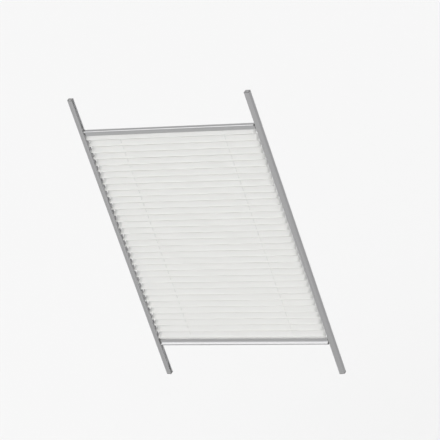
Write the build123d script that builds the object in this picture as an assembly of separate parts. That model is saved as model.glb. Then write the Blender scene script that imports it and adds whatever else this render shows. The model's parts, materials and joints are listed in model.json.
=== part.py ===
from build123d import *
import math
import os

# A pleated blind for a roof window. Two slotted side channels stand upright, a pleated cloth hangs between
# an upper and a lower rail, and both rails slide up and down in the channels on gliders. Two taut cords run
# down the channels, cross inside both rails and pass through the pleats, and keep the rails level.
# Sizes are in millimetres. X is the width, -Y faces the room and +Z points up the window.
# The origin is the middle of the bottom ends of the channels, at half the depth of the whole blind.

os.makedirs("parts", exist_ok=True)

# ---------------------------------------------------------------- whole blind
blind_width = 660.0            # over the outer walls of the side channels
blind_height = 1020.0          # over the channels' end caps
upper_rail_drop = 112.0        # from the top of the blind to the top of the upper rail
lower_rail_rise = 112.0        # from the bottom of the blind to the underside of the lower rail

# ---------------------------------------------------------------- side channels
channel_face = 17.0            # width of the front
channel_depth = 14.5
channel_wall = 1.3
channel_strip = 4.5            # the flat strip of the front, beside the slot
channel_slope = 2.2            # how far the rest of the front falls back towards the sash
channel_front_radius = 2.0     # the rounded front edge beside the sash
channel_edge_radius = 0.8      # the other edges
least_radius = 0.5             # a smaller inner radius is left sharp
slot_width = 8.0
slot_front_lip = 2.2           # between the channel's front and the slot
fixing_hole_radius = 2.0
fixing_hole_end_distance = 60.0
fixing_hole_count = 4

# ---------------------------------------------------------------- channel end caps and cord anchors
cap_plate = 3.0
cap_plug_length = 12.0
cap_plug_gap = 0.15            # around the plug, in the channel
anchor_radius = 3.0
anchor_length = 7.5
anchor_pocket_depth = 8.5
anchor_gap = 0.2               # around the anchor, in its pocket

# ---------------------------------------------------------------- rails
rail_height = 18.5
rail_depth = 7.5
rail_wall = 1.0
rail_edge_radius = 0.8
ledge_reach = 5.5              # how far the finger ledge stands out towards the room
ledge_height = 5.5
ledge_radius = 1.3
groove_height = 2.2            # inside height of the groove for the cloth strip
groove_opening = 3.2
rail_end_gap = 2.0             # between the rail's end cap and the channel

# ---------------------------------------------------------------- rail end caps and gliders
end_plate = 2.5
end_plug_length = 14.0
end_plug_gap = 0.1
tongue_width = 5.8
tongue_shift = 1.2             # of the tongue and the slot, from the rail's middle towards the room
tongue_height = 13.0
tongue_gap = 0.1               # around the tongue, in the glider
tongue_wall = 2.2              # between the tongue's tip and the cord's axis
glider_length = 30.0
glider_gap = 0.4               # between the glider and the channel
glider_chamfer = 1.5
screw_radius = 0.9
screw_head_radius = 1.7
screw_head_height = 0.8
screw_length = 4.0
screw_gap = 0.05
screw_end_distance = 6.0       # from the end of the rail
screw_level = 13.5             # above the rail's cloth side

# ---------------------------------------------------------------- cords
cord_radius = 0.5
cord_spread = 380.0            # between the two cords where they pass through the pleats
cord_shift = 0.5               # of both cords' middle, from the rail's middle towards the room
cord_offset = 0.95             # of each cord, in front of or behind their middle
cord_level = 8.0               # above the rail's cloth side
cord_bend_radius = 3.0
cord_bore_radius = 0.9         # through the end caps and the cloth strips
glider_bore_radius = 1.5
eyelet_radius = 1.0
eyelet_bore_radius = 0.7
eyelet_flange_radius = 1.25
eyelet_flange_height = 0.5
eyelet_gap = 0.05
rail_drill_radius = 1.5        # clears each cord through the groove's lips

# ---------------------------------------------------------------- cloth
cloth_thickness = 0.3
cloth_side_gap = 3.0           # between the cloth's edge and the channel
cloth_end_gap = 0.3            # between the cloth and the strips
pleat_pitch = 23.0             # wanted height of one pleat, rounded to a whole number of pleats
panel_width = 20.0             # flat width of the cloth between two folds
cloth_hole_radius = 1.5
strip_height = 1.8
strip_gap = 0.3                # at each side of the strip, in the groove
strip_stem_width = 1.2
strip_stem_reach = 0.4         # below the rail

# ---------------------------------------------------------------- worked out from the sizes above
half_width = blind_width / 2
inner_face_x = half_width - channel_face
channel_length = blind_height - 2 * cap_plate
cord_x = half_width - channel_face / 2
tongue_tip_x = cord_x - tongue_wall

rail_half = inner_face_x - rail_end_gap - end_plate
chamber_half_depth = rail_depth / 2 - rail_wall
web_low = rail_wall + groove_height
web_high = web_low + rail_wall
chamber_top = rail_height - rail_wall
rail_middle_level = rail_height / 2
upper_cloth_face = blind_height - upper_rail_drop - rail_height
lower_cloth_face = lower_rail_rise + rail_height

cloth_top = upper_cloth_face - strip_stem_reach - cloth_end_gap
cloth_bottom = lower_cloth_face + strip_stem_reach + cloth_end_gap
pleat_count = round((cloth_top - cloth_bottom) / pleat_pitch)
half_pitch = (cloth_top - cloth_bottom) / (2 * pleat_count)
pleat_reach = math.sqrt(panel_width**2 - half_pitch**2) / 2
cloth_skin = cloth_thickness / 2 * panel_width / half_pitch
cloth_half_width = inner_face_x - cloth_side_gap
strip_half = rail_half - strip_gap

# The ledge is the foremost part and the folds are the hindmost, and y = 0 is half way between them.
rail_y = (rail_depth / 2 + ledge_reach - pleat_reach - cloth_skin) / 2
rail_front = rail_y - rail_depth / 2
rail_back = rail_y + rail_depth / 2
ledge_front = rail_front - ledge_reach
slot_y = rail_y - tongue_shift
channel_front = slot_y - slot_width / 2 - slot_front_lip
cord_y = rail_y - cord_shift


def rod(start, end, radius):
    """A straight round rod, or the tool for a drilled hole."""
    line = Line(start, end)
    return extrude(Plane(origin=start, z_dir=line % 0) * Circle(radius), line.length)


def tube(points, radius, bend):
    """A round cord along straight runs joined by tangent arcs."""
    path = FilletPolyline(*points, radius=bend)
    return sweep(Plane(origin=path @ 0, z_dir=path % 0) * Circle(radius), path=path)


def save(shape, name):
    """Write one node. A list is a group of separate solids."""
    export_step(Compound(children=shape) if isinstance(shape, list) else shape, f"parts/{name}.step")


# ---------------------------------------------------------------- side channels and their caps


def channel_outline(side, inset):
    """The channel's outer form seen from above, or the same form drawn in by an inset all round."""
    corners = [
        (inner_face_x, channel_front),
        (inner_face_x + channel_strip, channel_front),
        (half_width, channel_front + channel_slope),
        (half_width, channel_front + channel_depth),
        (inner_face_x, channel_front + channel_depth),
    ]
    outline = make_face(Polyline(*corners, close=True))
    if inset > 0:
        outline = offset(outline, -inset, kind=Kind.INTERSECTION)
    if channel_front_radius - inset > least_radius:
        outer = outline.vertices().filter_by(lambda v: v.X > half_width - inset - 0.01)
        outline = fillet(outer.sort_by(Axis.Y)[0], channel_front_radius - inset)
    if inset < channel_edge_radius:
        square = outline.vertices().filter_by(lambda v: v.Y > channel_front + channel_depth - inset - 0.01)
        square += outline.vertices().filter_by(lambda v: v.X < inner_face_x + 0.01 and v.Y < slot_y)
        outline = fillet(square, channel_edge_radius - inset)
    return mirror(outline, Plane.YZ) if side < 0 else outline


def make_side_channel(side):
    slot = Pos(side * inner_face_x, slot_y) * Rectangle(4 * channel_wall, slot_width)
    section = channel_outline(side, 0) - channel_outline(side, channel_wall) - slot
    channel = Pos(0, 0, cap_plate) * extrude(section, channel_length)
    spacing = (blind_height - 2 * fixing_hole_end_distance) / (fixing_hole_count - 1)
    for index in range(fixing_hole_count):
        level = fixing_hole_end_distance + index * spacing
        inside = (side * (half_width - 2 * channel_wall), slot_y, level)
        outside = (side * (half_width + channel_wall), slot_y, level)
        channel -= rod(inside, outside, fixing_hole_radius)
    return channel


def cord_side(side):
    """The left channel holds the front cord and the right channel holds the back cord."""
    return cord_y + side * cord_offset


def end_level(end, distance):
    """A level at some distance in from the blind's top (end 1) or bottom (end -1)."""
    return blind_height - distance if end > 0 else distance


def make_channel_cap(side, end):
    plate_low = min(end_level(end, 0), end_level(end, cap_plate))
    plug_low = min(end_level(end, cap_plate), end_level(end, cap_plate + cap_plug_length))
    plate = Pos(0, 0, plate_low) * extrude(channel_outline(side, 0), cap_plate)
    plug = Pos(0, 0, plug_low) * extrude(channel_outline(side, channel_wall + cap_plug_gap), cap_plug_length)
    axis = (side * cord_x, cord_side(side))
    outside = (*axis, end_level(end, -1))
    seat = (*axis, end_level(end, anchor_pocket_depth))
    inside = (*axis, end_level(end, cap_plate + cap_plug_length + 1))
    pocket = rod(outside, seat, anchor_radius + anchor_gap)
    return plate + plug - pocket - rod(outside, inside, cord_bore_radius)


def make_cord_anchor(side, end):
    axis = (side * cord_x, cord_side(side))
    seat = (*axis, end_level(end, anchor_pocket_depth))
    outer = (*axis, end_level(end, anchor_pocket_depth - anchor_length))
    return rod(seat, outer, anchor_radius) - rod(seat, outer, cord_radius + anchor_gap)


# ---------------------------------------------------------------- rails
# A rail is drawn by its level above its cloth side. The upper rail has its cloth side down and the lower
# rail has it up, so flip is 1 for the upper rail and -1 for the lower one.


def rail_level(flip, level):
    face = upper_cloth_face if flip > 0 else lower_cloth_face
    return face + flip * level


def rail_patch(flip, y1, y2, level1, level2):
    """A rectangle of the rail's section, in the YZ plane."""
    z1 = rail_level(flip, level1)
    z2 = rail_level(flip, level2)
    return Pos((y1 + y2) / 2, (z1 + z2) / 2) * Rectangle(abs(y2 - y1), abs(z2 - z1))


def middle_patch(flip, half, level1, level2):
    """The same, over a half depth each side of the rail's middle."""
    return rail_patch(flip, rail_y - half, rail_y + half, level1, level2)


def rail_outline(flip):
    outline = rail_patch(flip, rail_front, rail_back, 0, rail_height)
    outline += rail_patch(flip, ledge_front, rail_y, rail_height - ledge_height, rail_height)
    outline = fillet(outline.vertices().filter_by(lambda v: v.X < ledge_front + 0.01), ledge_radius)
    return fillet(outline.vertices().filter_by(lambda v: v.X > rail_back - 0.01), rail_edge_radius)


def rail_section(flip):
    ledge_low = rail_height - ledge_height + rail_wall
    section = rail_outline(flip)
    section -= middle_patch(flip, chamber_half_depth, web_high, chamber_top)
    section -= middle_patch(flip, chamber_half_depth, rail_wall, web_low)
    section -= middle_patch(flip, groove_opening / 2, -1, rail_wall + 0.1)
    section -= rail_patch(flip, ledge_front + rail_wall, rail_front, ledge_low, chamber_top)
    return section


def along_rail(section, x1, x2):
    """Extrude a section of the YZ plane from x1 to x2."""
    return Pos(min(x1, x2), 0, 0) * extrude(Plane.YZ * section, abs(x2 - x1))


def cord_drop(side):
    """Where the cord that enters from this side leaves the rail: it has crossed to the other side."""
    return -side * cord_spread / 2


def drill(side, flip, level1, level2, radius):
    """A hole across the rail at the cord that entered from this side."""
    axis = (cord_drop(side), cord_side(side))
    return rod((*axis, rail_level(flip, level1)), (*axis, rail_level(flip, level2)), radius)


def screw_point(side, flip, y):
    return (side * (rail_half - screw_end_distance), y, rail_level(flip, screw_level))


def make_rail(flip):
    rail = along_rail(rail_section(flip), -rail_half, rail_half)
    for side in (-1, 1):
        rail -= drill(side, flip, -1, web_low, rail_drill_radius)
        rail -= drill(side, flip, web_low - 1, web_high + 1, eyelet_radius + eyelet_gap)
        screw_start = screw_point(side, flip, rail_y)
        screw_end = screw_point(side, flip, rail_back + 1)
        rail -= rod(screw_start, screw_end, screw_radius + screw_gap)
    return rail


def make_end_cap(side, flip):
    plate = along_rail(rail_outline(flip), side * rail_half, side * (rail_half + end_plate))
    half_plug = chamber_half_depth - end_plug_gap
    plug_section = middle_patch(flip, half_plug, web_high + end_plug_gap, chamber_top - end_plug_gap)
    plug = along_rail(plug_section, side * (rail_half - end_plug_length), side * rail_half)
    tongue = along_rail(tongue_section(flip, 0), side * rail_half, side * tongue_tip_x)
    bore_level = rail_level(flip, cord_level)
    bore_start = (side * (rail_half - end_plug_length - 1), cord_side(side), bore_level)
    bore_end = (side * (tongue_tip_x + 1), cord_side(side), bore_level)
    pilot_start = screw_point(side, flip, rail_back - screw_length)
    pilot_end = screw_point(side, flip, rail_back)
    cap = plate + plug + tongue - rod(bore_start, bore_end, cord_bore_radius)
    return cap - rod(pilot_start, pilot_end, screw_radius + screw_gap)


def tongue_section(flip, gap):
    """The tongue's section, or the pocket that holds it when there is a gap."""
    half = tongue_width / 2 + gap
    low = rail_middle_level - tongue_height / 2 - gap
    high = rail_middle_level + tongue_height / 2 + gap
    return rail_patch(flip, slot_y - half, slot_y + half, low, high)


def make_end_screw(side, flip):
    tip = screw_point(side, flip, rail_back - screw_length)
    seat = screw_point(side, flip, rail_back)
    top = screw_point(side, flip, rail_back + screw_head_height)
    return rod(tip, seat, screw_radius) + rod(seat, top, screw_head_radius)


def glider_levels(flip):
    """The glider's two ends, the first one at the cord's way out."""
    far = rail_level(flip, rail_middle_level + glider_length / 2)
    near = rail_level(flip, rail_middle_level - glider_length / 2)
    return far, near


def make_glider(side, flip):
    far, near = glider_levels(flip)
    body = extrude(channel_outline(side, channel_wall + glider_gap), glider_length)
    body = Pos(0, 0, min(far, near)) * body
    rims = body.edges().filter_by(Plane.XY).group_by(Axis.Z)
    body = chamfer(rims[0] + rims[-1], glider_chamfer)
    pocket_start = side * (inner_face_x - 1)
    pocket_end = side * (tongue_tip_x + tongue_gap)
    pocket = along_rail(tongue_section(flip, tongue_gap), pocket_start, pocket_end)
    corner = (side * cord_x, cord_side(side), rail_level(flip, cord_level))
    inner = (side * tongue_tip_x, cord_side(side), rail_level(flip, cord_level))
    outer = (side * cord_x, cord_side(side), far + flip)
    bores = rod(inner, corner, glider_bore_radius) + rod(corner, outer, glider_bore_radius)
    return body - pocket - bores - Pos(*corner) * Sphere(glider_bore_radius)


def make_cloth_strip(flip):
    head = middle_patch(flip, chamber_half_depth - strip_gap, rail_wall, rail_wall + strip_height)
    stem = middle_patch(flip, strip_stem_width / 2, -strip_stem_reach, rail_wall)
    strip = along_rail(head + stem, -strip_half, strip_half)
    for side in (-1, 1):
        strip -= drill(side, flip, -1, web_low, cord_bore_radius)
    return strip


def make_eyelet(side, flip):
    sleeve = drill(side, flip, web_low, web_high, eyelet_radius)
    flange = drill(side, flip, web_high, web_high + eyelet_flange_height, eyelet_flange_radius)
    bore = drill(side, flip, web_low - 1, web_high + eyelet_flange_height + 1, eyelet_bore_radius)
    return sleeve + flange - bore


# ---------------------------------------------------------------- cords


def make_rail_cord(side, flip):
    """From the glider, round its corner, across the rail and out through the eyelet."""
    far, near = glider_levels(flip)
    y = cord_side(side)
    level = rail_level(flip, cord_level)
    points = [
        (side * cord_x, y, far),
        (side * cord_x, y, level),
        (cord_drop(side), y, level),
        (cord_drop(side), y, rail_level(flip, 0)),
    ]
    return tube(points, cord_radius, cord_bend_radius)


def make_channel_cord(side, flip):
    """From the anchor in the channel's end cap to the glider."""
    far, near = glider_levels(flip)
    axis = (side * cord_x, cord_side(side))
    anchored = (*axis, end_level(flip, anchor_pocket_depth - anchor_length))
    return rod(anchored, (*axis, far), cord_radius)


def make_cloth_cord(side):
    """Between the two rails, through the pleats."""
    axis = (cord_drop(side), cord_side(side))
    return rod((*axis, lower_cloth_face), (*axis, upper_cloth_face), cord_radius)


# ---------------------------------------------------------------- cloth


def make_cloth():
    """One sheet folded to and fro. Folds towards the room and away from it alternate all the way down."""
    fold_count = 2 * pleat_count
    middle_line = [(rail_y, cloth_top)]
    for index in range(1, fold_count):
        reach = -pleat_reach if index % 2 else pleat_reach
        middle_line.append((rail_y + reach, cloth_top - index * half_pitch))
    middle_line.append((rail_y, cloth_bottom))
    front_line = [(y - cloth_skin, z) for y, z in middle_line]
    back_line = [(y + cloth_skin, z) for y, z in reversed(middle_line)]
    section = make_face(Polyline(*front_line, *back_line, close=True))
    cloth = along_rail(section, -cloth_half_width, cloth_half_width)
    for side in (-1, 1):
        axis = (cord_drop(side), cord_side(side))
        cloth -= rod((*axis, cloth_bottom - 1), (*axis, cloth_top + 1), cloth_hole_radius)
    return cloth


# ---------------------------------------------------------------- write every node

sides = {"left": -1, "right": 1}
ends = {"top": 1, "bottom": -1}
rails = {"upper": 1, "lower": -1}
runs = {"front": -1, "back": 1}

for side_name, side in sides.items():
    save(make_side_channel(side), f"side_channel_{side_name}")
    for end_name, end in ends.items():
        save(make_channel_cap(side, end), f"channel_cap_{end_name}_{side_name}")
        save(make_cord_anchor(side, end), f"cord_anchor_{end_name}_{side_name}")
        save(make_channel_cord(side, end), f"channel_cord_{end_name}_{side_name}")

for rail_name, flip in rails.items():
    save(make_rail(flip), f"{rail_name}_rail")
    save(make_cloth_strip(flip), f"{rail_name}_cloth_strip")
    save([make_eyelet(side, flip) for side in sides.values()], f"{rail_name}_rail_eyelets")
    save([make_end_screw(side, flip) for side in sides.values()], f"{rail_name}_rail_end_screws")
    for side_name, side in sides.items():
        save(make_end_cap(side, flip), f"{rail_name}_rail_end_cap_{side_name}")
        save(make_glider(side, flip), f"{rail_name}_rail_glider_{side_name}")
    for run_name, side in runs.items():
        save(make_rail_cord(side, flip), f"{rail_name}_rail_cord_{run_name}")

for side in sides.values():
    name = "right" if cord_drop(side) > 0 else "left"
    save(make_cloth_cord(side), f"cloth_cord_{name}")

save(make_cloth(), "pleated_cloth")
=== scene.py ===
"""A pleated blind for a roof window: two rails slide in side channels with a folded cloth between them."""

import json
import math

import bpy
import numpy as np
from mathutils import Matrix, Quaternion, Vector


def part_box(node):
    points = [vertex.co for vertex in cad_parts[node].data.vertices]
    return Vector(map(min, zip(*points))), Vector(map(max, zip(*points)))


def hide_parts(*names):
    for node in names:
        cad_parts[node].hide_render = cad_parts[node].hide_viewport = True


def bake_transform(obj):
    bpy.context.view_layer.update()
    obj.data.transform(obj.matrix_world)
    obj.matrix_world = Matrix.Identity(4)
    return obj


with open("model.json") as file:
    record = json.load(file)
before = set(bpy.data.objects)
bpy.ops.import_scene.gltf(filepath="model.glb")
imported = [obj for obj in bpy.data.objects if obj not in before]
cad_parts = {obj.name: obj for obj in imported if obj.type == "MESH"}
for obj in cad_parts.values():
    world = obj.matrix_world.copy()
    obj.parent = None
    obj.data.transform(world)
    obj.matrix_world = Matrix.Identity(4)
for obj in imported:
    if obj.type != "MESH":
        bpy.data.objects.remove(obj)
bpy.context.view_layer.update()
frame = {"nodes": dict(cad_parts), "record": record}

# ------------------------------------------------------------ sizes, in metres
cloth_low, cloth_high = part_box("pleated_cloth")
cloth_middle_y = (cloth_low.y + cloth_high.y) / 2
panel_count = 66
panel_width = 0.020
half_pitch = (cloth_high.z - cloth_low.z) / panel_count
fold_reach = math.sqrt(panel_width**2 - half_pitch**2) / 2
cloth_thickness = 0.0003
cord_radius = 0.0005
cord_hole_radius = 0.0015
thread_spacing = 0.00032
thread_relief = 0.00004
light_through_cloth = 0.78
crease_softness = 0.018
cloth_unevenness = 0.0002

# The inside of a channel's track, behind the slope of its front.
channel_low, channel_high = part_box("side_channel_right")
channel_wall = 0.0013
channel_slope = 0.0022
track_low = channel_low + Vector((channel_wall / 2, channel_slope + channel_wall / 4, 0))
track_high = channel_high - Vector((channel_wall / 2, channel_wall / 2, 0))
track_middle = (track_low + track_high) / 2
track_half = (track_high - track_low) / 2

# ------------------------------------------------------------ camera
camera_aim = Vector((0.0686, 0, 0.5702))
camera_distance = 11.337
camera_azimuth = math.radians(36.15)
camera_elevation = math.radians(26.11)
camera_roll = math.radians(-19.31)
camera_lens = 300.06


def add_camera():
    camera = bpy.data.objects.new("camera", bpy.data.cameras.new("camera"))
    bpy.context.scene.collection.objects.link(camera)
    level = math.cos(camera_elevation)
    sideways = math.sin(camera_azimuth) * level
    forwards = math.cos(camera_azimuth) * level
    back = Vector((sideways, -forwards, math.sin(camera_elevation)))
    camera.rotation_mode = "QUATERNION"
    camera.rotation_quaternion = (-back).to_track_quat("-Z", "Y") @ Quaternion((0, 0, 1), camera_roll)
    camera.location = camera_aim + back * camera_distance
    camera.data.lens = camera_lens
    camera.data.clip_end = 200
    bpy.context.scene.camera = camera


add_camera()

# ------------------------------------------------------------ nodes


def add(tree, kind, inputs=None, **settings):
    """Adds a node, then links or fills its inputs."""
    node = tree.nodes.new(kind)
    for name, value in settings.items():
        setattr(node, name, value)
    for name, value in (inputs or {}).items():
        if isinstance(value, bpy.types.NodeSocket):
            tree.links.new(value, node.inputs[name])
        else:
            node.inputs[name].default_value = value
    return node


def maths(tree, operation, *values):
    """What a Math node makes of its values."""
    return add(tree, "ShaderNodeMath", dict(enumerate(values)), operation=operation).outputs[0]


def new_group(name, kind, inputs, outputs):
    """A node group with its named sockets, and its input and output nodes."""
    group = bpy.data.node_groups.new(name, kind)
    for way, sockets in (("INPUT", inputs), ("OUTPUT", outputs)):
        for socket_name, socket_kind, value in sockets:
            full_kind = "NodeSocket" + socket_kind
            socket = group.interface.new_socket(socket_name, in_out=way, socket_type=full_kind)
            if value is not None:
                socket.default_value = value
    return group, group.nodes.new("NodeGroupInput").outputs, group.nodes.new("NodeGroupOutput").inputs


def blend_colours(tree, share, first, second):
    """A mix of two colours."""
    mix = add(tree, "ShaderNodeMix", {0: share, 6: first, 7: second}, data_type="RGBA")
    return mix.outputs[2]


def between(tree, value, low, high):
    """A value from 0 to 1 spread over another range."""
    return add(tree, "ShaderNodeMapRange", {"Value": value, "To Min": low, "To Max": high}).outputs[0]


def noise(tree, vector, scale, detail=2.0):
    """Soft noise about 0.5."""
    texture = add(tree, "ShaderNodeTexNoise", {"Vector": vector, "Scale": scale, "Detail": detail})
    return texture.outputs["Factor" if "Factor" in texture.outputs else "Fac"]


finish_inputs = [
    ("Vector", "Vector", None),
    ("Dark Colour", "Color", (0.4, 0.4, 0.4, 1)),
    ("Light Colour", "Color", (0.6, 0.6, 0.6, 1)),
    ("Smoothest", "Float", 0.3),
    ("Roughest", "Float", 0.5),
]
finish_outputs = [("Colour", "Color", None), ("Roughness", "Float", None), ("Height", "Float", None)]


def make_draw_lines():
    """Fine lines along an extrusion, with slower bands between them. The vector is stretched along them."""
    group, given, made = new_group("draw_lines", "ShaderNodeTree", finish_inputs, finish_outputs)
    fine = noise(group, given["Vector"], 1.0, 3.0)
    slow = noise(group, given["Vector"], 0.08, 2.0)
    both = maths(group, "ADD", maths(group, "MULTIPLY", fine, 0.55), maths(group, "MULTIPLY", slow, 0.45))
    sharp = add(group, "ShaderNodeMapRange", {"Value": both, "From Min": 0.3, "From Max": 0.7}).outputs[0]
    group.links.new(blend_colours(group, sharp, given["Dark Colour"], given["Light Colour"]), made["Colour"])
    group.links.new(between(group, sharp, given["Roughest"], given["Smoothest"]), made["Roughness"])
    group.links.new(fine, made["Height"])
    return group


def make_moulded_grain():
    """The fine grain that a mould leaves on plastic, with a slow change of tone."""
    group, given, made = new_group("moulded_grain", "ShaderNodeTree", finish_inputs, finish_outputs)
    pits = add(group, "ShaderNodeTexVoronoi", {"Vector": given["Vector"], "Scale": 1.0}).outputs["Distance"]
    fine = noise(group, given["Vector"], 2.3, 2.0)
    slow = noise(group, given["Vector"], 0.05, 2.0)
    tone = maths(group, "ADD", maths(group, "MULTIPLY", fine, 0.4), maths(group, "MULTIPLY", slow, 0.6))
    group.links.new(blend_colours(group, tone, given["Dark Colour"], given["Light Colour"]), made["Colour"])
    group.links.new(between(group, pits, given["Smoothest"], given["Roughest"]), made["Roughness"])
    group.links.new(maths(group, "ADD", pits, maths(group, "MULTIPLY", fine, 0.5)), made["Height"])
    return group


def make_plain_weave():
    """Threads that go over and under each other. The vector's X and Y are lengths along the cloth."""
    inputs = [("Vector", "Vector", None), ("Thread Spacing", "Float", 0.0003), ("Slub", "Float", 0.4)]
    outputs = [("Height", "Float", None), ("Tone", "Float", None)]
    group, given, made = new_group("plain_weave", "ShaderNodeTree", inputs, outputs)
    lengths = add(group, "ShaderNodeSeparateXYZ", {0: given["Vector"]}).outputs
    across = maths(group, "DIVIDE", lengths["X"], given["Thread Spacing"])
    along = maths(group, "DIVIDE", lengths["Y"], given["Thread Spacing"])
    warp = maths(group, "ABSOLUTE", maths(group, "SINE", maths(group, "MULTIPLY", across, math.pi)))
    weft = maths(group, "ABSOLUTE", maths(group, "SINE", maths(group, "MULTIPLY", along, math.pi)))
    cells = maths(group, "ADD", maths(group, "FLOOR", across), maths(group, "FLOOR", along))
    over = maths(group, "FLOORED_MODULO", cells, 2.0)
    warp_share = maths(group, "MULTIPLY", warp, maths(group, "SUBTRACT", 1.0, over))
    height = maths(group, "ADD", warp_share, maths(group, "MULTIPLY", weft, over))
    slow_across = maths(group, "MULTIPLY", across, 0.02)
    slow_along = maths(group, "MULTIPLY", along, 0.02)
    long_warp = add(group, "ShaderNodeCombineXYZ", {"X": across, "Y": slow_along}).outputs[0]
    long_weft = add(group, "ShaderNodeCombineXYZ", {"X": slow_across, "Y": along}).outputs[0]
    slub = maths(group, "ADD", noise(group, long_warp, 0.9, 1.0), noise(group, long_weft, 0.9, 1.0))
    slub = maths(group, "MULTIPLY", maths(group, "SUBTRACT", slub, 1.0), given["Slub"])
    # Partly painted shade: the tone follows the height, so each thread is darker where it dips under another;
    # the slub adds the yarn's own uneven tone.
    tone = maths(group, "ADD", maths(group, "MULTIPLY_ADD", height, 0.35, 0.45), slub)
    group.links.new(height, made["Height"])
    group.links.new(maths(group, "MINIMUM", maths(group, "MAXIMUM", tone, 0.0), 1.0), made["Tone"])
    return group


def make_braid():
    """Strands that wind both ways round a cord. The vector's X goes once round and its Y is the length."""
    inputs = [("Vector", "Vector", None), ("Strand Pitch", "Float", 0.0012), ("Turns", "Float", 4.0)]
    outputs = [("Height", "Float", None), ("Tone", "Float", None)]
    group, given, made = new_group("braid", "ShaderNodeTree", inputs, outputs)
    place = add(group, "ShaderNodeSeparateXYZ", {0: given["Vector"]}).outputs
    along = maths(group, "DIVIDE", place["Y"], given["Strand Pitch"])
    around = maths(group, "MULTIPLY", place["X"], given["Turns"])
    ways = []
    for operation in ("ADD", "SUBTRACT"):
        turn = maths(group, "MULTIPLY", maths(group, operation, along, around), 2 * math.pi)
        ways.append(maths(group, "MULTIPLY_ADD", maths(group, "SINE", turn), 0.5, 0.5))
    height = maths(group, "MAXIMUM", *ways)
    group.links.new(height, made["Height"])
    # Painted shade: the tone follows the height, so the grooves between strands are darker.
    group.links.new(maths(group, "MULTIPLY_ADD", height, 0.7, 0.3), made["Tone"])
    return group


draw_lines = make_draw_lines()
moulded_grain = make_moulded_grain()
plain_weave = make_plain_weave()
braid = make_braid()

# ------------------------------------------------------------ materials


def grey(value, warmth=0.0):
    """A near grey, with a little less blue when it is warm and more when it is cool."""
    return (value, value, value * (1 - warmth), 1)


def new_material(name):
    """An empty material, with its tree and its surface shader."""
    material = bpy.data.materials.new(name)
    material.use_nodes = True
    tree = material.node_tree
    return material, tree, tree.nodes["Principled BSDF"]


def finish_surface(tree, shader, made, depth):
    """Feeds what a group puts out to the surface. depth is the relief in metres."""
    tree.links.new(made["Colour"], shader.inputs["Base Color"])
    tree.links.new(made["Roughness"], shader.inputs["Roughness"])
    bump = add(tree, "ShaderNodeBump", {"Height": made["Height"], "Strength": 1.0, "Distance": depth})
    tree.links.new(bump.outputs[0], shader.inputs["Normal"])


def stretched_place(tree, repeats):
    """Object coordinates times the repeats per metre along X, Y and Z."""
    place = add(tree, "ShaderNodeTexCoord").outputs["Object"]
    return add(tree, "ShaderNodeMapping", {"Vector": place, "Scale": repeats}).outputs[0]


def grouped_material(name, group, repeats, dark, light, roughness, depth, metallic=0.0):
    """A material whose colour, roughness and relief all come from one group."""
    material, tree, shader = new_material(name)
    inputs = {
        "Vector": stretched_place(tree, repeats),
        "Dark Colour": dark,
        "Light Colour": light,
        "Smoothest": roughness[0],
        "Roughest": roughness[1],
    }
    holder = add(tree, "ShaderNodeGroup", inputs, node_tree=group)
    finish_surface(tree, shader, holder.outputs, depth)
    shader.inputs["Metallic"].default_value = metallic
    return material


def make_aluminium(name, repeats):
    """Satin anodised aluminium with its draw lines along the extrusion."""
    dark, light = grey(0.60, -0.006), grey(0.70, -0.006)
    return grouped_material(name, draw_lines, repeats, dark, light, (0.24, 0.36), 0.000006, 1.0)


def make_channel_material():
    """Drawn aluminium. The walls inside the track are bare, and paler and duller than the outside."""
    material = make_aluminium("channel_aluminium", along_z)
    tree = material.node_tree
    shader = tree.nodes["Principled BSDF"]
    holder = next(node for node in tree.nodes if node.type == "GROUP")
    place = add(tree, "ShaderNodeTexCoord").outputs["Object"]
    parts = add(tree, "ShaderNodeSeparateXYZ", {0: place}).outputs
    from_blind_middle = maths(tree, "ABSOLUTE", parts["X"])
    across = maths(tree, "ABSOLUTE", maths(tree, "SUBTRACT", from_blind_middle, track_middle.x))
    deep = maths(tree, "ABSOLUTE", maths(tree, "SUBTRACT", parts["Y"], track_middle.y))
    between_sides = maths(tree, "LESS_THAN", across, track_half.x)
    inside = maths(tree, "MULTIPLY", between_sides, maths(tree, "LESS_THAN", deep, track_half.y))
    colour = blend_colours(tree, inside, holder.outputs["Colour"], grey(0.93))
    tree.links.new(colour, shader.inputs["Base Color"])
    tree.links.new(between(tree, inside, 1.0, 0.35), shader.inputs["Metallic"])
    return material


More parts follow.
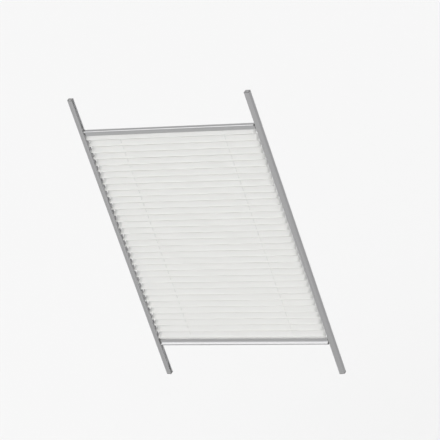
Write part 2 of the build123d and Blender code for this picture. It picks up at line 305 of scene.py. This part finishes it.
def make_cloth_material():
    """Off-white pleated polyester: a fine weave, slow mottling and a painted highlight, a paler line at each
    fold.
    """
    material, tree, shader = new_material("pleated_cloth")
    flat = add(tree, "ShaderNodeUVMap", uv_map="cloth").outputs[0]
    inputs = {"Vector": flat, "Thread Spacing": thread_spacing, "Slub": 0.35}
    weave = add(tree, "ShaderNodeGroup", inputs, node_tree=plain_weave)
    slow = noise(tree, flat, 9.0, 3.0)
    # The weave's tone carries its painted shade between threads into the cloth's colour.
    fine_share = maths(tree, "MULTIPLY", weave.outputs["Tone"], 0.6)
    tone = maths(tree, "ADD", fine_share, maths(tree, "MULTIPLY", slow, 0.4))
    base = blend_colours(tree, tone, grey(0.84, 0.009), grey(0.91, 0.008))
    # Painted highlight: the colour is paler in a narrow band at every fold, crest and valley alike, to
    # lighten the shade that the folds cast.
    lengths = add(tree, "ShaderNodeSeparateXYZ", {0: flat}).outputs
    panels = maths(tree, "DIVIDE", lengths["Y"], panel_width)
    from_fold = maths(tree, "PINGPONG", panels, 0.5)
    near_fold = {"Value": from_fold, "From Min": 0.0, "From Max": 0.045, "To Min": 1.0, "To Max": 0.0}
    painted_fold_light_mask = add(tree, "ShaderNodeMapRange", near_fold).outputs[0]
    painted_fold_light = maths(tree, "MULTIPLY", painted_fold_light_mask, 0.5)
    # grey(0.94) is the painted highlight colour at the folds.
    colour = blend_colours(tree, painted_fold_light, base, grey(0.94, 0.01))
    tree.links.new(colour, shader.inputs["Base Color"])
    tree.links.new(between(tree, weave.outputs["Height"], 0.88, 0.72), shader.inputs["Roughness"])
    relief = {"Height": weave.outputs["Height"], "Strength": 0.8, "Distance": thread_relief}
    bump = add(tree, "ShaderNodeBump", relief)
    tree.links.new(bump.outputs[0], shader.inputs["Normal"])
    shader.inputs["Sheen Weight"].default_value = 0.15
    shader.inputs["Sheen Roughness"].default_value = 0.5
    shader.inputs["Specular IOR Level"].default_value = 0.25
    through = add(tree, "ShaderNodeBsdfTranslucent", {"Color": grey(0.94, 0.008)})
    layers = {0: light_through_cloth, 1: shader.outputs[0], 2: through.outputs[0]}
    both = add(tree, "ShaderNodeMixShader", layers)
    tree.links.new(both.outputs[0], tree.nodes["Material Output"].inputs["Surface"])
    return material


def make_cord_material(name, place):
    """White braided cord. place makes the vector from the tree: once round in X, and metres along in Y."""
    material, tree, shader = new_material(name)
    strands = add(tree, "ShaderNodeGroup", {"Vector": place(tree)}, node_tree=braid)
    # The dark colour falls in the grooves between strands: painted shade.
    colour = blend_colours(tree, strands.outputs["Tone"], grey(0.5, 0.01), grey(0.85, 0.008))
    tree.links.new(colour, shader.inputs["Base Color"])
    tree.links.new(between(tree, strands.outputs["Height"], 0.85, 0.65), shader.inputs["Roughness"])
    relief = {"Height": strands.outputs["Height"], "Strength": 0.7, "Distance": 0.00008}
    bump = add(tree, "ShaderNodeBump", relief)
    tree.links.new(bump.outputs[0], shader.inputs["Normal"])
    shader.inputs["Sheen Weight"].default_value = 0.2
    return material


def cord_own_place(tree):
    """A cord with its own map."""
    return add(tree, "ShaderNodeUVMap", uv_map="cord").outputs[0]


def rail_cord_place(tree):
    """A cord that lies along X: its height stands for the way round."""
    place = add(tree, "ShaderNodeTexCoord").outputs["Object"]
    parts = add(tree, "ShaderNodeSeparateXYZ", {0: place}).outputs
    around = maths(tree, "MULTIPLY", parts["Z"], 0.5 / (math.pi * cord_radius))
    return add(tree, "ShaderNodeCombineXYZ", {"X": around, "Y": parts["X"]}).outputs[0]


along_z = (2600, 2600, 5)
along_x = (5, 2600, 2600)
fine_grain = (3000, 3000, 3000)
dark_brass = (0.55, 0.44, 0.22, 1)
light_brass = (0.68, 0.56, 0.3, 1)
finishes = {
    "channel_aluminium": make_channel_material(),
    "rail_aluminium": make_aluminium("rail_aluminium", along_x),
    "cap_plastic": grouped_material(
        "cap_plastic", moulded_grain, (2200, 2200, 2200), grey(0.20), grey(0.26), (0.42, 0.6), 0.00002
    ),
    "end_cap_plastic": grouped_material(
        "end_cap_plastic", moulded_grain, (2200, 2200, 2200), grey(0.14), grey(0.19), (0.42, 0.6), 0.00002
    ),
    "glider_plastic": grouped_material(
        "glider_plastic", moulded_grain, (1500, 1500, 1500), grey(0.5), grey(0.58), (0.3, 0.42), 0.00001
    ),
    "anchor_plastic": grouped_material(
        "anchor_plastic", moulded_grain, (1800, 1800, 1800), grey(0.6), grey(0.68), (0.4, 0.55), 0.00001
    ),
    "strip_plastic": grouped_material(
        "strip_plastic", draw_lines, along_x, grey(0.62), grey(0.7), (0.45, 0.6), 0.000008
    ),
    "screw_steel": grouped_material(
        "screw_steel", moulded_grain, fine_grain, grey(0.45), grey(0.55), (0.25, 0.4), 0.000006, 1.0
    ),
    "eyelet_brass": grouped_material(
        "eyelet_brass", moulded_grain, fine_grain, dark_brass, light_brass, (0.22, 0.35), 0.000004, 1.0
    ),
    "pleated_cloth": make_cloth_material(),
    "cord": make_cord_material("cord", cord_own_place),
    "rail_cord": make_cord_material("rail_cord", rail_cord_place),
}

slots = {part["node"]: part["material_slot"] for part in frame["record"]["subparts"]}
for node_name, node in frame["nodes"].items():
    finish = "rail_cord" if "rail_cord" in node_name else slots[node_name]
    node.data.materials.clear()
    node.data.materials.append(finishes[finish])

# ------------------------------------------------------------ the folded cloth
# The sheet is laid flat first, with holes where the cords pass, and then a node tree folds it.
# Rows of points are shares of a panel, closer together at the folds and at the hole.
panel_rows = [0, 0.02, 0.05, 0.12, 0.22, 0.33, 0.4085, 0.45425]
panel_rows += [0.5, 0.54575, 0.5915, 0.67, 0.78, 0.88, 0.95, 0.98]
hole_middle_row = panel_rows.index(0.5)
hole_columns = [-0.003, -0.0015, -0.00075, 0, 0.00075, 0.0015, 0.003]
hole_half_height = 0.0915
column_spacing = 0.017


def cord_place(side):
    """Where a cord goes down through the cloth, in X and Y."""
    low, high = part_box("cloth_cord_right" if side > 0 else "cloth_cord_left")
    return (low.x + high.x) / 2, (low.y + high.y) / 2


def sheet_columns():
    """Places across the sheet, closer together at the holes."""
    marks = [cloth_low.x]
    for side in (-1, 1):
        middle = cord_place(side)[0]
        marks.append([middle + step for step in hole_columns])
    marks.append(cloth_high.x)
    columns = [marks[0]]
    for mark in marks[1:]:
        group = mark if isinstance(mark, list) else [mark]
        steps = max(1, round((group[0] - columns[-1]) / column_spacing))
        start = columns[-1]
        columns += [start + (group[0] - start) * step / steps for step in range(1, steps)]
        columns += group
    return columns


def flat_sheet(name, first, last):
    """The cut sheet between two folds, with a round hole in each panel at each cord."""
    columns = sheet_columns()
    rows = [fold + share for fold in range(first, last) for share in panel_rows] + [last]
    across, folds = np.meshgrid(columns, rows)
    kept = np.ones((len(rows) - 1, len(columns) - 1), bool)
    for side in (-1, 1):
        middle_x, cord_y = cord_place(side)
        column = min(range(len(columns)), key=lambda c: abs(columns[c] - middle_x))
        forward = (cord_y - cloth_middle_y) / (2 * fold_reach)
        for fold in range(first, last):
            row = (fold - first) * len(panel_rows) + hole_middle_row
            if fold in (0, panel_count - 1):
                # The end panels are half as deep, so the cord leaves them by a notch in the cut edge.
                reach = panel_rows.index(0.33 if forward < 0 else 0.12)
                edge = row - hole_middle_row
                if fold > 0:
                    edge += len(panel_rows) - reach
                kept[edge : edge + reach, column - 2 : column + 2] = False
                continue
            shift = forward if fold % 2 else -forward
            folds[row - 3 : row + 4, column - 3 : column + 4] += shift
            kept[row - 2 : row + 2, column - 2 : column + 2] = False
            for up in range(-2, 3):
                for out in range(-2, 3):
                    if max(abs(up), abs(out)) == 2:
                        long = math.hypot(up, out)
                        across[row + up, column + out] = middle_x + cord_hole_radius * out / long
                        folds[row + up, column + out] = fold + 0.5 + shift + hole_half_height * up / long
    index = np.arange(across.size).reshape(across.shape)
    faces = np.stack([index[:-1, :-1], index[1:, :-1], index[1:, 1:], index[:-1, 1:]], -1)[kept]
    used, corners = np.unique(faces, return_inverse=True)
    points = np.stack([across, folds * panel_width, np.zeros_like(across)], -1).reshape(-1, 3)[used]
    mesh = bpy.data.meshes.new(name)
    mesh.from_pydata(points.tolist(), [], corners.reshape(-1, 4).tolist())
    flat_places = mesh.uv_layers.new(name="cloth")
    flat_places.data.foreach_set("uv", points[corners.ravel(), :2].astype(np.float32).ravel())
    mesh.polygons.foreach_set("use_smooth", [True] * len(mesh.polygons))
    sheet = bpy.data.objects.new(name, mesh)
    bpy.context.scene.collection.objects.link(sheet)
    return sheet


def make_folding():
    """Folds a flat sheet to and fro. Y over the panel width counts the panels. Odd folds are in front."""
    inputs = [
        ("Sheet", "Geometry", None),
        ("Panel Width", "Float", 0.02),
        ("Panels", "Float", 66.0),
        ("Half Pitch", "Float", 0.0115),
        ("Fold Reach", "Float", 0.0082),
        ("Crease Softness", "Float", 0.02),
        ("Middle Depth", "Float", 0.0),
        ("Top Level", "Float", 1.0),
        ("Unevenness", "Float", 0.0008),
        ("Seed", "Float", 4.0),
        ("Material", "Material", None),
    ]
    group, given, made = new_group("folding", "GeometryNodeTree", inputs, [("Cloth", "Geometry", None)])
    place = add(group, "GeometryNodeInputPosition").outputs[0]
    flat = add(group, "ShaderNodeSeparateXYZ", {0: place}).outputs
    count = maths(group, "DIVIDE", flat["Y"], given["Panel Width"])
    in_pair = maths(group, "FLOORED_MODULO", count, 2.0)
    from_front = maths(group, "ABSOLUTE", maths(group, "SUBTRACT", in_pair, 1.0))
    softness = maths(group, "MULTIPLY", given["Crease Softness"], given["Crease Softness"])
    from_back = maths(group, "SUBTRACT", 1.0, from_front)
    front = maths(group, "SQRT", maths(group, "MULTIPLY_ADD", from_front, from_front, softness))
    back = maths(group, "SQRT", maths(group, "MULTIPLY_ADD", from_back, from_back, softness))
    full_reach = maths(group, "SQRT", maths(group, "ADD", softness, 1.0))
    span = maths(group, "SUBTRACT", full_reach, given["Crease Softness"])
    swing = maths(group, "DIVIDE", maths(group, "SUBTRACT", front, back), span)
    to_end = maths(group, "MINIMUM", count, maths(group, "SUBTRACT", given["Panels"], count))
    at_end = maths(group, "LESS_THAN", to_end, 1.0)
    half_swing = maths(group, "MULTIPLY_ADD", swing, 0.5, -0.5)
    swing_end = maths(group, "MULTIPLY", half_swing, at_end)
    swing = maths(group, "MULTIPLY_ADD", swing, maths(group, "SUBTRACT", 1.0, at_end), swing_end)
    wander = add(
        group,
        "ShaderNodeCombineXYZ",
        {
            "X": maths(group, "MULTIPLY", flat["X"], 3.5),
            "Y": maths(group, "MULTIPLY", count, 0.63),
            "Z": given["Seed"],
        },
    ).outputs[0]
    loose = add(group, "ShaderNodeTexNoise", {"Vector": wander, "Scale": 1.0, "Detail": 1.0}).outputs["Color"]
    centred = {0: loose, 1: (0.5, 0.5, 0.5)}
    loose = add(group, "ShaderNodeVectorMath", centred, operation="SUBTRACT").outputs[0]
    hold = maths(group, "MULTIPLY", maths(group, "MINIMUM", to_end, 1.0), given["Unevenness"])
    loose = add(group, "ShaderNodeVectorMath", {0: loose, "Scale": hold}, operation="SCALE").outputs[0]
    depth = maths(group, "MULTIPLY_ADD", swing, given["Fold Reach"], given["Middle Depth"])
    drop = maths(group, "MULTIPLY", count, given["Half Pitch"])
    level = maths(group, "SUBTRACT", given["Top Level"], drop)
    folded = add(group, "ShaderNodeCombineXYZ", {"X": flat["X"], "Y": depth, "Z": level}).outputs[0]
    only_y_z = add(group, "ShaderNodeVectorMath", {0: loose, 1: (0, 1, 1)}, operation="MULTIPLY").outputs[0]
    target = add(group, "ShaderNodeVectorMath", {0: folded, 1: only_y_z}, operation="ADD").outputs[0]
    moved = add(group, "GeometryNodeSetPosition", {"Geometry": given["Sheet"], "Position": target}).outputs[0]
    real = add(group, "GeometryNodeRealizeInstances", {"Geometry": moved}).outputs[0]
    finish = {"Geometry": real, "Material": given["Material"]}
    painted = add(group, "GeometryNodeSetMaterial", finish).outputs[0]
    group.links.new(painted, made["Cloth"])
    return group


def set_inputs(modifier, group, values):
    """Fills a node modifier's inputs by their names."""
    for item in group.interface.items_tree:
        if item.item_type == "SOCKET" and item.in_out == "INPUT" and item.name in values:
            modifier[item.identifier] = values[item.name]


def plain_result(maker, name):
    """Turns a piece's evaluated shape into a plain mesh on a new object, and takes its maker away."""
    bpy.context.view_layer.update()
    depsgraph = bpy.context.evaluated_depsgraph_get()
    shaped = maker.evaluated_get(depsgraph)
    mesh = bpy.data.meshes.new_from_object(shaped, preserve_all_data_layers=True, depsgraph=depsgraph)
    bpy.data.objects.remove(maker)
    mesh.name = name
    piece = bpy.data.objects.new(name, mesh)
    bpy.context.scene.collection.objects.link(piece)
    return piece


def follow_evenly(piece):
    """Reads each point's place; the points are left where they are."""
    count = len(piece.data.vertices)
    places = np.empty(count * 3, np.float32)
    piece.data.vertices.foreach_get("co", places)


folding = make_folding()
split_fold = panel_count // 2
split_level = cloth_high.z - split_fold * half_pitch


def make_cloth_half(name, first, last, body, end_level, strip):
    """The cloth between two folds, folded and given its wall as a plain mesh."""
    maker = flat_sheet(name + "_flat", first, last)
    folded = maker.modifiers.new("folding", "NODES")
    folded.node_group = folding
    values = {
        "Panel Width": panel_width,
        "Panels": float(panel_count),
        "Half Pitch": half_pitch,
        "Fold Reach": fold_reach,
        "Crease Softness": crease_softness,
        "Middle Depth": cloth_middle_y,
        "Top Level": cloth_high.z,
        "Unevenness": cloth_unevenness,
        "Seed": 4.0,
        "Material": finishes["pleated_cloth"],
    }
    set_inputs(folded, folding, values)
    wall = maker.modifiers.new("wall", "SOLIDIFY")
    wall.thickness = cloth_thickness
    wall.offset = 0
    piece = plain_result(maker, name)
    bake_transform(piece)
    follow_evenly(piece)
    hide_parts("pleated_cloth")
    return piece


upper_end = ("upper_rail_set", cloth_high.z, "upper_cloth_strip")
lower_end = ("lower_rail_set", cloth_low.z, "lower_cloth_strip")
make_cloth_half("cloth_upper_half", 0, split_fold, *upper_end)
make_cloth_half("cloth_lower_half", split_fold, panel_count, *lower_end)

# ------------------------------------------------------------ taut cords


def taut_cord(name, x, y, low, high, sides=10, spacing=0.02):
    """A straight round cord with closed ends, and a map that goes once round and along its length."""
    rings = max(2, math.ceil((high - low) / spacing) + 1)
    levels = [low + (high - low) * ring / (rings - 1) for ring in range(rings)]
    turns = [2 * math.pi * side / sides for side in range(sides)]
    rim = [(x + cord_radius * math.cos(turn), y + cord_radius * math.sin(turn)) for turn in turns]
    points = [(*place, level) for level in levels for place in rim]
    faces = [tuple(reversed(range(sides)))]
    places = [(side / sides, 0.0) for side in reversed(range(sides))]
    for ring in range(rings - 1):
        for side in range(sides):
            after = (side + 1) % sides
            base = ring * sides
            faces.append((base + side, base + after, base + sides + after, base + sides + side))
            start, end = levels[ring], levels[ring + 1]
            here, there = side / sides, (side + 1) / sides
            places += [(here, start), (there, start), (there, end), (here, end)]
    faces.append(tuple(range((rings - 1) * sides, rings * sides)))
    places += [(side / sides, high) for side in range(sides)]
    mesh = bpy.data.meshes.new(name)
    mesh.from_pydata(points, [], faces)
    mesh.uv_layers.new(name="cord").data.foreach_set("uv", np.array(places, np.float32).ravel())
    mesh.polygons.foreach_set("use_smooth", [len(face) == 4 for face in faces])
    mesh.materials.append(finishes["cord"])
    cord = bpy.data.objects.new(name, mesh)
    bpy.context.scene.collection.objects.link(cord)
    return cord


def blended_cord(name, node, fixed_level, moving_level):
    """A straight cord from a fixed level to the level where a rail stands."""
    low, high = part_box(node)
    middle = (low + high) / 2
    bottom, top = sorted((fixed_level, moving_level))
    cord = taut_cord(name, middle.x, middle.y, bottom, top)
    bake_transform(cord)
    follow_evenly(cord)
    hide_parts(node)


for side in ("left", "right"):
    low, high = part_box(f"cloth_cord_{side}")
    blended_cord(f"cloth_cord_upper_{side}", f"cloth_cord_{side}", split_level, high.z)
    blended_cord(f"cloth_cord_lower_{side}", f"cloth_cord_{side}", split_level, low.z)
    low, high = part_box(f"channel_cord_top_{side}")
    blended_cord(f"side_cord_top_{side}", f"channel_cord_top_{side}", high.z, low.z)
    low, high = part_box(f"channel_cord_bottom_{side}")
    blended_cord(f"side_cord_bottom_{side}", f"channel_cord_bottom_{side}", low.z, high.z)

# ------------------------------------------------------------ floor and light
floor_level = -0.9
floor_half = 60
bright_side = Vector((-0.35, -0.6, 0.72)).normalized()
brightest = 2.0
dimmest = 0.52


def add_floor():
    """A wide plain pale floor, well below the blind."""
    around = ((-1, -1), (1, -1), (1, 1), (-1, 1))
    corners = [(floor_half * x, floor_half * y, floor_level) for x, y in around]
    mesh = bpy.data.meshes.new("floor")
    mesh.from_pydata(corners, [], [(0, 1, 2, 3)])
    floor = bpy.data.objects.new("floor", mesh)
    bpy.context.scene.collection.objects.link(floor)
    material, tree, shader = new_material("floor")
    shader.inputs["Base Color"].default_value = grey(0.81)
    shader.inputs["Roughness"].default_value = 0.9
    shader.inputs["Specular IOR Level"].default_value = 0.1
    mesh.materials.append(material)
    floor.visible_glossy = False


def add_surroundings():
    """A soft white room, brightest in one direction."""
    world = bpy.data.worlds.new("studio")
    world.use_nodes = True
    tree = world.node_tree
    look = add(tree, "ShaderNodeTexCoord").outputs["Generated"]
    dot = add(tree, "ShaderNodeVectorMath", {0: look, 1: bright_side}, operation="DOT_PRODUCT")
    facing = dot.outputs["Value"]
    spread = {"Value": facing, "From Min": 0.3, "From Max": 0.95, "To Min": dimmest, "To Max": brightest}
    light = add(tree, "ShaderNodeMapRange", spread, interpolation_type="SMOOTHSTEP").outputs[0]
    tree.nodes["Background"].inputs["Color"].default_value = (1, 1, 1, 1)
    tree.links.new(light, tree.nodes["Background"].inputs["Strength"])
    bpy.context.scene.world = world


add_floor()
add_surroundings()
bpy.context.scene.view_settings.view_transform = "Standard"
